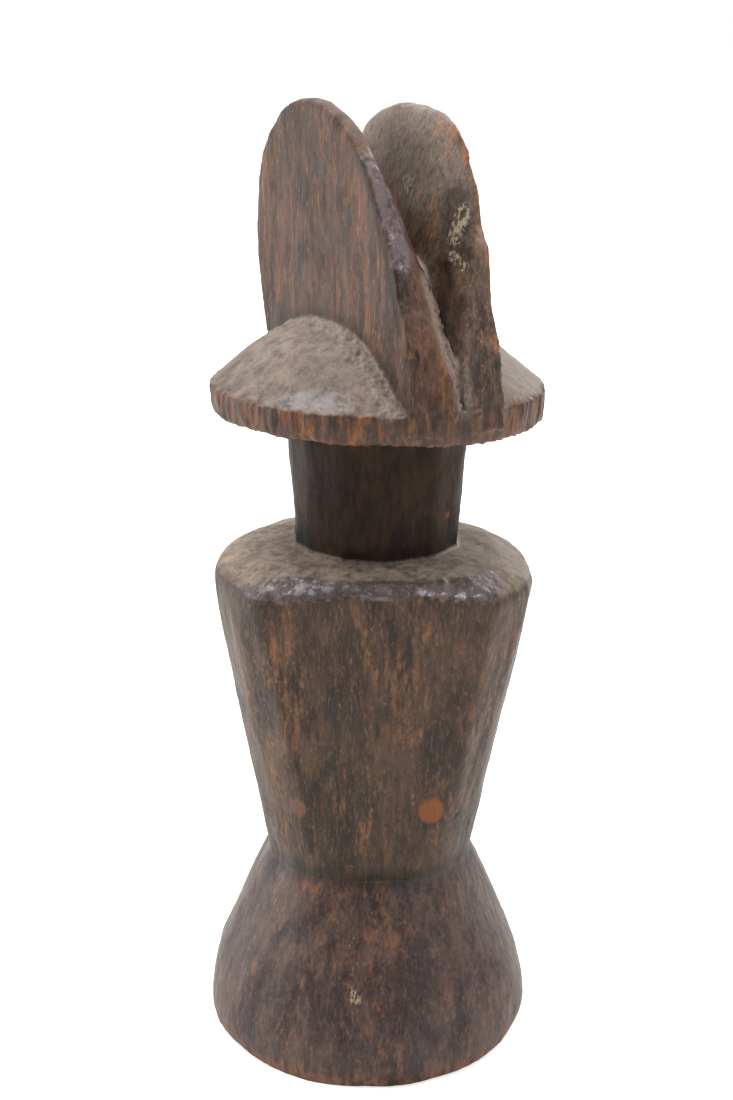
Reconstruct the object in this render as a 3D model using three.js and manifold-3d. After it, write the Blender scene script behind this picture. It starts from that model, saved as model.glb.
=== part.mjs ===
// A carved wooden fertility doll: a flared base, a torso that widens up to its shoulders, a round neck
// and a domed head disc that carries two tall hair crests side by side, with a cleft between them.
// The doll is cut from one billet, and each form here ends where the carver's knife stopped.
// Millimetres, +Z up. The origin is the centre of the underside, and the crests face -Y.
import * as THREE from "three";
import { mergeVertices } from "three/addons/utils/BufferGeometryUtils.js";
import Module from "manifold-3d";

const wasm = await Module();
wasm.setup();

// Driving dimensions.
const BILLET_RADIUS = 23.1; // the log that everything is cut from, left whole just above the foot
const WAIST_Z = 27;
const SHOULDER_Z = 72.4;
const BRIM_Z = 90.2; // underside of the head disc
const CROWN_Z = 130.3; // top of the crests
const WAIST_RADIUS = 14.7;
const SHOULDER_RADIUS = 21.9;
const NECK_RADIUS = 11.4;
const RIM_RADIUS = 22.2;
const RIM_HEIGHT = 3.8;
const DOME_RISE = 9.4; // from the rim's top edge to the middle of the disc

const TORSO_TURN = THREE.MathUtils.degToRad(-22); // the torso's broad face, turned from the crests' front
const WAIST_FLAT = 13.4; // from the axis to the torso's broad faces, at the waist
const SHOULDER_FLAT = 18; // and at the shoulders

const CREST_SPLAY = THREE.MathUtils.degToRad(2.8); // each crest stands further out at its back
const CREST_FRONT_X = 6.9; // outer face of a crest at the front rim
const CREST_BLANK = 12; // thickness of the slab that a crest is cut from
const CLEFT_X = 0.5; // the middle of the cleft, where the two crests meet
const CLEFT_FLOOR = 0.9; // half the cleft's width at the rim,
const CLEFT_SIDE = 4.5; // half way up
const CLEFT_CROWN = 5.3; // and at the crown
const CLEFT_FLOOR_Z = 108.5; // the highest point of the cleft's floor
const CUT_GAP = 0.3; // left between a crest and the dome it is cut by
const ROUND_SEGMENTS = 48;
const CURVE_STEPS = 10;

// A solid of revolution about +Z from [radius, z] points that start and end on the axis.
function turned(profile, segments = ROUND_SEGMENTS) {
  const points = profile.map(([r, z]) => new THREE.Vector2(r, z));
  return new THREE.LatheGeometry(points, segments).rotateX(Math.PI / 2);
}

// manifold-3d's solid of a closed geometry.
function solid(geometry) {
  const bare = geometry.index ? geometry.toNonIndexed() : geometry.clone();
  bare.deleteAttribute("normal");
  bare.deleteAttribute("uv");
  const merged = mergeVertices(bare, 1e-4);
  return new wasm.Manifold(
    new wasm.Mesh({
      numProp: 3,
      vertProperties: merged.attributes.position.array,
      triVerts: new Uint32Array(merged.index.array),
    }),
  );
}

// The geometry of a solid whose vertices hold only their position.
function geometryOf(made) {
  const mesh = made.getMesh();
  const geometry = new THREE.BufferGeometry();
  geometry.setAttribute("position", new THREE.BufferAttribute(mesh.vertProperties, 3));
  geometry.setIndex(new THREE.BufferAttribute(mesh.triVerts, 1));
  const flat = geometry.toNonIndexed();
  flat.computeVertexNormals();
  return flat;
}

// Flared base: a flat foot with a rounded edge, drawn in to the waist.
function baseGeometry() {
  return turned([
    [0, 0],
    [BILLET_RADIUS - 1.1, 0],
    [BILLET_RADIUS - 0.3, 0.9],
    [BILLET_RADIUS, 3],
    [BILLET_RADIUS - 0.4, 6],
    [BILLET_RADIUS - 1.5, 10],
    [BILLET_RADIUS - 3.1, 14],
    [BILLET_RADIUS - 4.8, 18],
    [WAIST_RADIUS + 1.9, WAIST_Z - 5],
    [WAIST_RADIUS + 0.4, WAIST_Z - 1.4],
    [WAIST_RADIUS, WAIST_Z],
    [0, WAIST_Z],
  ]);
}

// A closed outline drawn in [x, z], run through the doll along Y and centred on it.
function alongY(shape) {
  const length = 4 * BILLET_RADIUS;
  const geometry = new THREE.ExtrudeGeometry(shape, {
    depth: length,
    steps: 1,
    bevelEnabled: false,
    curveSegments: CURVE_STEPS,
  });
  return geometry.rotateX(Math.PI / 2).translate(0, length / 2, 0);
}

// Torso: widens from the waist to a sloping shoulder top, and is shaved flat in front and behind.
function torsoGeometry() {
  const round = turned([
    [0, WAIST_Z],
    [WAIST_RADIUS, WAIST_Z],
    [WAIST_RADIUS + 0.6, WAIST_Z + 4],
    [WAIST_RADIUS + 3.1, WAIST_Z + 18],
    [SHOULDER_RADIUS - 2.1, SHOULDER_Z - 17.4],
    [SHOULDER_RADIUS - 0.2, SHOULDER_Z - 6.4],
    [SHOULDER_RADIUS, SHOULDER_Z - 3.6],
    [SHOULDER_RADIUS - 0.9, SHOULDER_Z - 2.2],
    [SHOULDER_RADIUS - 2.8, SHOULDER_Z - 1.4],
    [NECK_RADIUS + 1.6, SHOULDER_Z],
    [0, SHOULDER_Z],
  ]);
  const flats = new THREE.Shape();
  flats.moveTo(-WAIST_FLAT, WAIST_Z - 1);
  flats.lineTo(WAIST_FLAT, WAIST_Z - 1);
  flats.lineTo(SHOULDER_FLAT, SHOULDER_Z + 1);
  flats.lineTo(-SHOULDER_FLAT, SHOULDER_Z + 1);
  const shaved = solid(round).intersect(solid(alongY(flats).rotateZ(Math.PI / 2)));
  return geometryOf(shaved).rotateZ(TORSO_TURN);
}

// Neck: a drum, a little waisted, that spreads into the head disc.
function neckGeometry() {
  return turned([
    [0, SHOULDER_Z],
    [NECK_RADIUS + 0.3, SHOULDER_Z],
    [NECK_RADIUS, SHOULDER_Z + 4],
    [NECK_RADIUS + 0.1, BRIM_Z - 8],
    [NECK_RADIUS + 0.6, BRIM_Z - 3],
    [NECK_RADIUS + 1.4, BRIM_Z],
    [0, BRIM_Z],
  ]);
}

// [radius, z] points of the dome from its rim to the axis, raised by lift.
function domeProfile(lift) {
  const rimZ = BRIM_Z + RIM_HEIGHT;
  return [
    [RIM_RADIUS - 0.2, rimZ + lift],
    [RIM_RADIUS - 2.6, rimZ + 2.6 + lift],
    [RIM_RADIUS - 5.2, rimZ + 4.6 + lift],
    [RIM_RADIUS - 8.7, rimZ + 6.8 + lift],
    [RIM_RADIUS - 13.2, rimZ + 8.6 + lift],
    [0, rimZ + DOME_RISE + lift],
  ];
}

// Head disc: a flat underside, an upright rim and a shallow dome.
function headDiscGeometry() {
  return turned([
    [0, BRIM_Z],
    [RIM_RADIUS - 0.9, BRIM_Z],
    [RIM_RADIUS - 0.1, BRIM_Z + 0.9],
    [RIM_RADIUS, BRIM_Z + 2.2],
    ...domeProfile(0),
  ]);
}

// The space that the head disc fills, with the gap above it, as the cutter for a crest's foot.
function domeCutter() {
  const below = BRIM_Z - 10;
  const wide = RIM_RADIUS + 5;
  return solid(
    turned([[0, below], [wide, below], [wide, BRIM_Z + RIM_HEIGHT + CUT_GAP], ...domeProfile(CUT_GAP)]),
  );
}

// A crest's side view, in [y, z]: an upright front that leans back to the crown, and a rounded back.
// Its front foot reaches the disc's rim and its back foot stops a little short of it.
function crestOutline() {
  const frontY = -RIM_RADIUS + 1.1;
  const backY = RIM_RADIUS - 1.9;
  const crownY = 4.5;
  const shape = new THREE.Shape();
  shape.moveTo(frontY + 0.2, BRIM_Z);
  shape.lineTo(frontY, CROWN_Z - 30.3);
  shape.bezierCurveTo(frontY, CROWN_Z - 24.3, crownY - 12.5, CROWN_Z, crownY, CROWN_Z);
  shape.bezierCurveTo(crownY + 9.5, CROWN_Z, backY, CROWN_Z - 4.3, backY, CROWN_Z - 17.3);
  shape.quadraticCurveTo(backY, CROWN_Z - 26.3, backY - 3, CROWN_Z - 31.8);
  shape.lineTo(backY - 4.2, BRIM_Z);
  return shape;
}

// One half of the crest before the cleft is cut: side is -1 for the left one and 1 for the right one.
function crestBlank(side) {
  const slab = new THREE.ExtrudeGeometry(crestOutline(), {
    depth: CREST_BLANK,
    steps: 1,
    bevelEnabled: false,
    curveSegments: CURVE_STEPS,
  });
  // The outline's x becomes y, its y becomes z, and the extrusion runs along x.
  slab.rotateX(Math.PI / 2).rotateZ(Math.PI / 2);
  slab.translate(side < 0 ? 0 : -CREST_BLANK, RIM_RADIUS, 0);
  slab.rotateZ(-side * CREST_SPLAY);
  slab.translate(side * CREST_FRONT_X, -RIM_RADIUS, 0);
  const size = 4 * CROWN_Z;
  const otherHalf = new THREE.BoxGeometry(size, size, size).translate(CLEFT_X - (side * size) / 2, 0, 0);
  return solid(slab).subtract(solid(otherHalf));
}

// The cleft, seen from the front: narrow at the rim, widening quickly and running open to the crown.
function cleftSection() {
  const rimZ = BRIM_Z + RIM_HEIGHT;
  const topZ = CROWN_Z + 5;
  const shape = new THREE.Shape();
  shape.moveTo(-CLEFT_FLOOR, BRIM_Z);
  shape.lineTo(CLEFT_FLOOR, BRIM_Z);
  shape.lineTo(CLEFT_FLOOR, rimZ);
  shape.quadraticCurveTo(CLEFT_SIDE - 1.2, rimZ + 10, CLEFT_SIDE, rimZ + 20);
  shape.lineTo(CLEFT_CROWN, topZ);
  shape.lineTo(-CLEFT_CROWN, topZ);
  shape.lineTo(-CLEFT_SIDE, rimZ + 20);
  shape.quadraticCurveTo(1.2 - CLEFT_SIDE, rimZ + 10, -CLEFT_FLOOR, rimZ);
  return shape;
}

// The space above the cleft's floor, in [y, z]: the floor climbs from the rim at both ends.
function cleftFloor() {
  const endY = RIM_RADIUS + 5;
  const shape = new THREE.Shape();
  shape.moveTo(-endY, BRIM_Z);
  shape.lineTo(-RIM_RADIUS, BRIM_Z + RIM_HEIGHT - 1);
  shape.quadraticCurveTo(4 - RIM_RADIUS, CLEFT_FLOOR_Z, 0, CLEFT_FLOOR_Z);
  shape.quadraticCurveTo(RIM_RADIUS - 4, CLEFT_FLOOR_Z, RIM_RADIUS, BRIM_Z + RIM_HEIGHT - 1);
  shape.lineTo(endY, BRIM_Z);
  shape.lineTo(endY, 2 * CROWN_Z);
  shape.lineTo(-endY, 2 * CROWN_Z);
  return shape;
}

function crestGeometry(side) {
  const section = solid(alongY(cleftSection()).translate(CLEFT_X, 0, 0));
  const cleft = section.intersect(solid(alongY(cleftFloor()).rotateZ(Math.PI / 2)));
  return geometryOf(crestBlank(side).subtract(cleft).subtract(domeCutter()));
}

// Hardwood that has gone dark with handling and oil, redder where it is rubbed or broken.
function wood(colour, roughness) {
  return new THREE.MeshStandardMaterial({ color: colour, roughness, metalness: 0 });
}
const handledWood = wood(0x58463c, 0.55);
const dustyWood = wood(0x64534a, 0.65);
const shadedWood = wood(0x3c2f28, 0.6);

const doll = new THREE.Group();
function add(name, geometry, material) {
  const mesh = new THREE.Mesh(geometry, material);
  mesh.name = name;
  doll.add(mesh);
}

add("flared_base", baseGeometry(), handledWood);
add("torso", torsoGeometry(), handledWood);
add("neck", neckGeometry(), shadedWood);
add("head_disc", headDiscGeometry(), dustyWood);
add("left_crest", crestGeometry(-1), dustyWood);
add("right_crest", crestGeometry(1), dustyWood);

export default doll;
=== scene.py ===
# %% [markdown]
# # A carved fertility doll
# The doll is one piece of dark hardwood. A carver cut a foot, a body, a neck and a brimmed head out of one
# short log, and left two tall crests of hair standing on the head. This script repeats that work: it builds
# the rough forms, makes one block of them, carves and wears the block, and only then divides it where the
# knife made its stop cuts, so that each named form is a closed piece of its own.

# %% Load the frame
import math
import random

import bmesh
import bpy
import numpy as np
from mathutils import Matrix, Vector


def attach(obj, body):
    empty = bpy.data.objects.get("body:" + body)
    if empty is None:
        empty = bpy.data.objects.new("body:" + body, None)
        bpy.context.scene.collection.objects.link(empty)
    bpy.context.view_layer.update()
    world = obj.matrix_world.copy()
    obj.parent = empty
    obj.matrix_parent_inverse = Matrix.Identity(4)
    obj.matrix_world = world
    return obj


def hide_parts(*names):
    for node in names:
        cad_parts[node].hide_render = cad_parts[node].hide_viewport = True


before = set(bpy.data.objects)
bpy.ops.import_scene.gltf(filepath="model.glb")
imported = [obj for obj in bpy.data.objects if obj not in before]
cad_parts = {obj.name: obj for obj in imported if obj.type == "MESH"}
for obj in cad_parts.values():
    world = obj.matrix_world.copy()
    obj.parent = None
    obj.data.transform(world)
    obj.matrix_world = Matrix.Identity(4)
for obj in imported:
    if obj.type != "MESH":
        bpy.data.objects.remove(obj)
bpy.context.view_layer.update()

# %% [markdown]
# ## The camera
# It stands to the left of the crests' front, 23 cm away, and looks down on the shoulders. The lens is a
# little longer than a normal one, and the camera is held about one degree off level. One matrix places and
# turns it.

# %% Camera
CAMERA_PLACE = (-0.10215, -0.19795, 0.14044)
CAMERA_TURN, CAMERA_DOWN, CAMERA_ROLL = -27.0, 17.48, 0.975
bpy.ops.object.camera_add()
camera = bpy.context.object
camera.data.lens = 55.64
camera.data.sensor_width = 36
camera.data.clip_start = 0.01
camera.matrix_world = (
    Matrix.Translation(CAMERA_PLACE)
    @ Matrix.Rotation(math.radians(CAMERA_TURN), 4, "Z")
    @ Matrix.Rotation(math.radians(90 - CAMERA_DOWN), 4, "X")
    @ Matrix.Rotation(math.radians(CAMERA_ROLL), 4, "Z")
)
bpy.context.scene.camera = camera
print("camera at", [round(v, 3) for v in camera.location])

# %% [markdown]
# ## Rough forms
# A form that changes from one section to the next can be lofted: the first section is drawn as a face, and
# the face is extruded to each section in turn. The block is carved at one unit to the millimetre, which
# keeps the numbers easy to read, and is brought to metres at the end.

# %% Loft
SIDES = 96


def ring(z, radius):
    """A round section."""
    turns = [2 * math.pi * k / SIDES for k in range(SIDES)]
    return [(radius * math.cos(a), radius * math.sin(a), z) for a in turns]


def place(mesh, section):
    """Moves the selected corners to the section's points, each by the number it has kept."""
    corners = bmesh.from_edit_mesh(mesh).verts
    number = corners.layers.int["number"]
    for corner in corners:
        if corner.select:
            corner.co = section[corner[number]]
    bmesh.update_edit_mesh(mesh)


def loft(name, sections):
    """Draws the first section as a face and extrudes it from section to section."""
    bpy.ops.object.select_all(action="DESELECT")
    bpy.ops.mesh.primitive_circle_add(vertices=len(sections[0]), fill_type="NGON")
    made = bpy.context.object
    made.name = name
    numbers = made.data.attributes.new("number", "INT", "POINT")
    numbers.data.foreach_set("value", list(range(len(sections[0]))))
    bpy.ops.object.mode_set(mode="EDIT")
    bpy.ops.mesh.select_all(action="SELECT")
    place(made.data, sections[0])
    for section in sections[1:]:
        bpy.ops.mesh.extrude_region_move()
        place(made.data, section)
    bpy.ops.mesh.select_all(action="SELECT")
    bpy.ops.mesh.normals_make_consistent(inside=False)
    bpy.ops.object.mode_set(mode="OBJECT")
    print(name, "has", len(made.data.polygons), "faces")
    return made


# %% [markdown]
# A carver makes a round log flat with straight cuts of the blade. Bisecting a form with a plane and closing
# the cut does the same, and many shallow cuts give the slightly faceted surface of hand work.

# %% Shave
def facing(azimuth, elevation):
    """The direction that a cut faces. Azimuth 0 is the front, -Y, and 90 is +X."""
    a, e = math.radians(azimuth), math.radians(elevation)
    return Vector((math.sin(a) * math.cos(e), -math.cos(a) * math.cos(e), math.sin(e)))


def cut_plane(form, point, normal):
    """Cuts away what lies beyond the plane and closes the cut."""
    bpy.ops.object.select_all(action="DESELECT")
    bpy.context.view_layer.objects.active = form
    form.select_set(True)
    bpy.ops.object.mode_set(mode="EDIT")
    bpy.ops.mesh.select_all(action="SELECT")
    bpy.ops.mesh.bisect(plane_co=point, plane_no=normal, use_fill=True, clear_outer=True)
    bpy.ops.object.mode_set(mode="OBJECT")


def shave(form, azimuth, elevation, distance, z):
    """One straight cut: distance is how far from the doll's axis it passes, at height z."""
    out = facing(azimuth, 0)
    cut_plane(form, out * distance + Vector((0, 0, z)), facing(azimuth, elevation))


# %% [markdown]
# ## Base
# The foot is the widest part, left almost at the log's full width, and it narrows to a ledge at the waist.

# %% Base
# Height and radius, from the underside up.
BASE_PROFILE = [
    (-1, 21.4), (0.2, 22.4), (2, 23.0), (3.4, 23.1), (6, 22.8), (10, 21.75), (14, 20.15),
    (18, 18.45), (22, 16.7), (25, 15.45), (26.4, 14.75), (28, 13.2), (31, 12.5),
]
base = loft("base", [ring(z, r) for z, r in BASE_PROFILE])
knife = random.Random(11)
for k in range(13):
    turn = k * 360 / 13 + knife.uniform(-6, 6)
    shave(base, turn, 20 + knife.uniform(-2, 2), 22.0 + knife.uniform(-0.1, 0.15), 9)
for k in range(9):
    turn = k * 40 + knife.uniform(-9, 9)
    shave(base, turn, 26 + knife.uniform(-3, 3), 16.75 + knife.uniform(-0.05, 0.2), 21.5)
for k in range(11):
    turn = k * 360 / 11 + knife.uniform(-8, 8)
    shave(base, turn, 6, 22.95 + knife.uniform(-0.1, 0.1), 4)
print("base has", len(base.data.polygons), "faces after shaving")

# %% [markdown]
# ## Torso
# The body is round at the sides and shaved flat in front, a little to the left of the crests' front. Its
# shoulder top is nearly level in front and falls away to the sides and the back.

# %% Torso
TORSO_PROFILE = [
    (25, 14.2), (27, 14.85), (31, 15.5), (38, 16.8), (45, 18.1), (50, 19.1), (55, 20.1), (60, 21.0),
    (64, 21.6), (67, 21.85), (68.4, 21.7), (69.5, 20.8), (70.4, 19.2), (71.0, 17.0), (71.5, 14.2), (71.9, 11.0),
]
WAIST_Z, SHOULDER_EDGE_Z = 27, 70
# The broad faces' turn, their distance from the axis at the waist and the shoulders, and how much they swell.
BROAD_FACE = -24
FACE_AT_WAIST, FACE_AT_SHOULDER = 13.7, 17.5
FACE_SWELL = 1 / 90


def shaved_ring(z, radius):
    """A round section whose front and back are shaved to broad faces that swell a little in the middle."""
    front = facing(BROAD_FACE, 0)
    across = Vector((-front.y, front.x, 0))
    rise = (z - WAIST_Z) / (SHOULDER_EDGE_Z - WAIST_Z)
    reach = FACE_AT_WAIST + rise * (FACE_AT_SHOULDER - FACE_AT_WAIST)
    section = []
    for point in ring(z, radius):
        depth, offset = front.dot(point), across.dot(point)
        limit = reach - FACE_SWELL * offset * offset
        section.append(front * max(-limit, min(limit, depth)) + across * offset + Vector((0, 0, z)))
    return section


torso = loft("torso", [shaved_ring(z, r) for z, r in TORSO_PROFILE])
for k in range(12):
    turn = BROAD_FACE + 50 + k * 26 + knife.uniform(-5, 5)
    if abs((turn - BROAD_FACE + 90) % 180 - 90) > 35:
        shave(torso, turn, -9.5 + knife.uniform(-1, 1), 16.9 + knife.uniform(0, 0.15), 39)
        shave(torso, turn + 9, -11 + knife.uniform(-1, 1), 20.85 + knife.uniform(0, 0.15), 59)
# The bevel along the front of the shoulders: each cut's turn, slope, distance from the axis and height.
EDGE_CUTS = (
    (BROAD_FACE, 45, 16.4, 70.6), (-46, 46, 17.3, 70.2), (-2, 46, 17.5, 70.2), (22, 50, 18.8, 69.9),
    (63, 60, 18.0, 70.2),
)
for turn, slope, distance, level in EDGE_CUTS:
    shave(torso, turn, slope, distance, level)
print("torso has", len(torso.data.polygons), "faces after shaving")

# %% [markdown]
# ## Neck and head
# The neck is a plain drum that spreads a little where it meets the head. The head is a disc like the brim of
# a hat: a flat underside, an upright rim as wide as the shoulders and a low cone above it.

# %% Neck and head
# Height and radius, from the bottom up.
NECK_PROFILE = [(68, 11.6), (72.6, 11.5), (74.5, 11.45), (79, 11.5), (84, 11.8), (88, 12.4), (90.4, 13.2), (92, 14)]
neck = loft("neck", [ring(z, r) for z, r in NECK_PROFILE])
for k in range(12):
    turn = k * 30 + knife.uniform(-7, 7)
    shave(neck, turn, -3.5, 11.5 + knife.uniform(-0.05, 0.15), 82)

HEAD_PROFILE = [
    (90.2, 21.0), (90.6, 21.8), (92, 22.1), (93.9, 22.15), (94.3, 21.7), (96.4, 19.1),
    (98.4, 16.7), (100.6, 13.4), (102.1, 9.2), (102.9, 3),
]


# How far each section sags on the side where the carver left the rim thicker, and the way to that side.
RIM_SAG = [0.9, 0.9, 0.4] + [0] * (len(HEAD_PROFILE) - 3)
THICK_SIDE = facing(60, 0)
RIM_RADIUS = 22


def sagging(section, drop):
    """Lowers a section towards the thick side of the rim."""
    return [(px, py, pz - drop * max(0, THICK_SIDE.dot((px, py, 0))) / RIM_RADIUS) for px, py, pz in section]


head = loft("head", [sagging(ring(z, r), drop) for (z, r), drop in zip(HEAD_PROFILE, RIM_SAG)])
for k in range(13):
    turn = k * 360 / 13 + knife.uniform(-8, 8)
    shave(head, turn, 53 + knife.uniform(-2, 2), 16.8 + knife.uniform(0, 0.15), 98.25)

# %% [markdown]
# ## Crests
# Seen from the side each crest is a tall leaning leaf, upright in front and round behind. The two were left
# side by side in the log, so they are lofted straight across it, and their outer faces are then cut so that
# they stand further apart at the back.

# %% Crest slabs
# The outline from the side as (y, z): down the back from the crown, and up each crest's own front edge.
CREST_BACK = [
    (5.9, 130.2), (10.1, 129.6), (13.6, 128.2), (17.0, 125.5), (18.9, 122.6), (19.7, 118.5),
    (20.2, 112), (19.7, 106.5), (18.2, 101), (17.0, 97), (16.4, 92.5),
]
LEFT_FRONT = [
    (-22.0, 91.5), (-21.8, 95), (-21.3, 101), (-19.7, 105.5), (-18.1, 108.4), (-17.1, 111.4),
    (-13.8, 116.6), (-10.2, 122), (-5.5, 126.3), (-1.6, 128.7), (2.5, 130.1),
]
RIGHT_FRONT = [
    (-22.0, 91.5), (-21.5, 95.2), (-20.1, 101), (-18.2, 105.8), (-17.4, 109.4), (-16.7, 113.2), (-14.8, 115.6),
    (-14.2, 117.6), (-13.4, 120), (-12.1, 122.3), (-9.2, 125.7), (-6.5, 127.7), (-4.0, 128.6), (1, 129.4),
    (5.9, 129.3), (10.1, 128.5),
]


def crest_slab(name, outline, inner_x, outer_x):
    """A slab of the outline's shape, between two distances from the doll's middle."""
    return loft(name, [[(x, y, z) for y, z in outline] for x in (inner_x, outer_x)])


left_slab = crest_slab("left_slab", LEFT_FRONT + CREST_BACK, 0.9, -11)
right_slab = crest_slab("right_slab", RIGHT_FRONT + CREST_BACK[3:], 0.3, 11)
# The outer faces move 2.0 mm outwards over the crests' depth of 41.4 mm.
CREST_DEPTH, CREST_SPREAD, CREST_FRONT_Y = 41.4, 2.0, -20.9
LEFT_FACE_X, RIGHT_FACE_X = -6.9, 6.7
cut_plane(left_slab, (LEFT_FACE_X, CREST_FRONT_Y, 0), Vector((-CREST_DEPTH, -CREST_SPREAD, 0)).normalized())
cut_plane(right_slab, (RIGHT_FACE_X, CREST_FRONT_Y, 0), Vector((CREST_DEPTH, -CREST_SPREAD, 0)).normalized())
print("crest faces:", len(left_slab.data.polygons), "and", len(right_slab.data.polygons))

# %% [markdown]
# The cleft between the crests is a groove like a pulley's, sunk along their whole edge: shallow where it
# starts on the rim, and wide and deep at the crown. It is lofted as the wood that the carver took out.

# %% Cleft
CLEFT_X = 0.6
# Bottom of the groove and edge of the crest as (y, z), and the widths to the left and right at the edge.
CLEFT = [
    ((-25.5, 93.3), (-27.5, 96.5), 1.2, 1.1),
    ((-20.9, 94.1), (-23.2, 97.0), 1.7, 1.1),
    ((-19.5, 98.8), (-21.7, 99.7), 3.2, 2.3),
    ((-17.8, 101.3), (-21.0, 102.7), 4.2, 3.0),
    ((-14.6, 105.8), (-18.9, 108.2), 5.2, 4.1),
    ((-10.6, 110.0), (-15.7, 114.4), 5.6, 4.9),
    ((-6.0, 111.8), (-11.8, 120.4), 5.6, 5.2),
    ((0.0, 112.4), (-5.4, 126.8), 6.0, 5.0),
    ((4.2, 112.2), (4.5, 130.9), 6.3, 4.8),
    ((8.5, 110.9), (13.8, 128.8), 6.2, 4.8),
    ((12.0, 108.4), (19.6, 121.5), 5.6, 5.0),
    ((14.2, 105.0), (20.8, 112.0), 4.6, 4.6),
    ((15.6, 101.5), (20.4, 105.5), 3.6, 3.6),
    ((17.2, 98.0), (20.5, 100.5), 2.3, 2.3),
    ((25.0, 96.0), (27.0, 98.5), 1.9, 1.9),
]


def cleft_section(bottom, edge, left, right):
    """The groove's section: a narrow floor, and walls that swell outwards towards the edge."""
    points = []
    for share, x in (
        (0, -0.3), (0, 0.3), (0.5, 0.36 * right), (0.85, 0.72 * right), (1, right), (1.3, 1.6 * right),
        (1.3, -1.4 * left), (1, -left), (0.8, -0.7 * left), (0.4, -0.37 * left),
    ):
        y = bottom[0] + share * (edge[0] - bottom[0])
        z = bottom[1] + share * (edge[1] - bottom[1])
        points.append((CLEFT_X + x, y, z))
    return points


cleft_cutter = loft("cleft_cutter", [cleft_section(*station) for station in CLEFT])

# %% [markdown]
# ## One block
# The forms are joined with booleans, and the cleft is cut out of the result. One block can be worn and marked
# all over, with nothing lost or doubled where two forms meet.

# %% Join and cut
def combine(block, other, operation):
    """Applies one boolean to the block and removes the other form."""
    change = block.modifiers.new("combine", "BOOLEAN")
    change.operation = operation
    change.solver = "MANIFOLD"
    change.object = other
    bpy.ops.object.select_all(action="DESELECT")
    bpy.context.view_layer.objects.active = block
    bpy.ops.object.modifier_apply(modifier=change.name)
    bpy.data.objects.remove(other)


FLAKE_TILT = 0.6


def chip(place_mm, size_mm, seed):
    """A small tilted box, as the shape of a flake of wood that has broken away."""
    tilt = random.Random(seed)
    bpy.ops.object.select_all(action="DESELECT")
    bpy.ops.mesh.primitive_cube_add(size=1, location=place_mm, scale=size_mm)
    flake = bpy.context.object
    flake.rotation_euler = [tilt.uniform(-FLAKE_TILT, FLAKE_TILT) for _ in range(3)]
    bpy.ops.object.transform_apply(location=True, rotation=True, scale=True)
    return flake


block = base
for form in (torso, neck, head, left_slab, right_slab):
    combine(block, form, "UNION")
combine(block, cleft_cutter, "DIFFERENCE")
print("block:", len(block.data.vertices), "corners")

# %% [markdown]
# The block is chipped before it gets its skin, so the chips wear with everything else. A small box is enough
# for a flake of wood, and one lofted form hollows the right crest below the ledge in the cleft.

# %% Chips and hollow
# Place and size of each flake, in millimetres.
CHIPS = [
    # The broken front edge of the right crest, from the step upwards.
    ((8.0, -16.0, 116.6), (1.5, 1.5, 3.0)), ((8.1, -13.9, 120.2), (1.3, 1.2, 2.2)),
    ((8.1, -12.6, 122.9), (1.3, 1.3, 2.4)), ((8.3, -9.9, 125.9), (1.2, 1.4, 1.8)),
    # Small losses on the left crest's edge, the rim and the foot.
    ((-4.9, -18.4, 111.9), (3.2, 1.0, 1.2)), ((-7.2, -15.4, 115.3), (1.2, 1.2, 2.4)),
    ((-18.4, -13.4, 90.6), (3.4, 2.0, 1.2)), ((14.8, -17.4, 93.9), (2.6, 1.4, 1.1)),
    ((-6.9, -22.4, 0.9), (1.8, 1.9, 2.4)), ((-3.4, -22.9, 0.4), (1.6, 1.6, 1.6)),
    ((12.4, -19.9, 0.4), (2.6, 1.4, 1.0)), ((-19.6, 12.9, 0.3), (2.4, 1.8, 1.2)),
]
for number, (spot, size) in enumerate(CHIPS):
    combine(block, chip(spot, size, number), "DIFFERENCE")
# The ledge in the cleft: the height, and how far into the right crest's inner face the hollow reaches.
HOLLOW = ((96, 1.1), (100, 2.0), (105, 2.6), (109, 3.0), (111.2, 3.1))
hollow_sections = [
    [(0.8, -24, h), (reach - 0.3, -24, h + 0.6), (reach - 0.8, -12, h), (0.8, -12, h - 0.6)] for h, reach in HOLLOW
]
combine(block, loft("hollow", hollow_sections), "DIFFERENCE")
print("block:", len(block.data.vertices), "corners")

# %% [markdown]
# A voxel remesh gives the block an even skin of small faces, and smoothing rounds the cut edges as handling
# does. Faces of 0.3 mm are small enough for the open grain of the rim.

# %% Skin
VOXEL = 0.3
EDGE_ROUNDING, HANDLING = 6, 60


def apply_all(thing):
    """Applies every modifier in order."""
    bpy.ops.object.select_all(action="DESELECT")
    bpy.context.view_layer.objects.active = thing
    for change in list(thing.modifiers):
        bpy.ops.object.modifier_apply(modifier=change.name)


def smooth(thing, times, within=""):
    """Relaxes the surface, which rounds its edges."""
    change = thing.modifiers.new("smooth", "SMOOTH")
    change.iterations, change.factor, change.vertex_group = times, 0.5, within


skin = block.modifiers.new("skin", "REMESH")
skin.mode, skin.voxel_size = "VOXEL", VOXEL
smooth(block, EDGE_ROUNDING)
apply_all(block)
print("skin:", len(block.data.vertices), "corners")

# %% [markdown]
# ## Zones
# What happened to the doll happened in places: the crests' edges were rubbed, the rim shows open grain, lint
# settled in the creases. Each zone is worked out from where a corner is and which way it faces, and kept as a
# vertex group for the modifiers or as an attribute for the finish.

# %% Zone helpers
def read(mesh, kind):
    """The places or the normals of a mesh's corners, as rows of x, y and z."""
    source = mesh.vertices if kind == "co" else mesh.vertex_normals
    values = np.empty(len(mesh.vertices) * 3, dtype=np.float32)
    source.foreach_get("co" if kind == "co" else "vector", values)
    return values.reshape(-1, 3).astype(np.float64)


def blend(values, start, end):
    """A soft step from 0 at start to 1 at end."""
    t = np.clip((values - start) / (end - start), 0, 1)
    return t * t * (3 - 2 * t)


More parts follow.
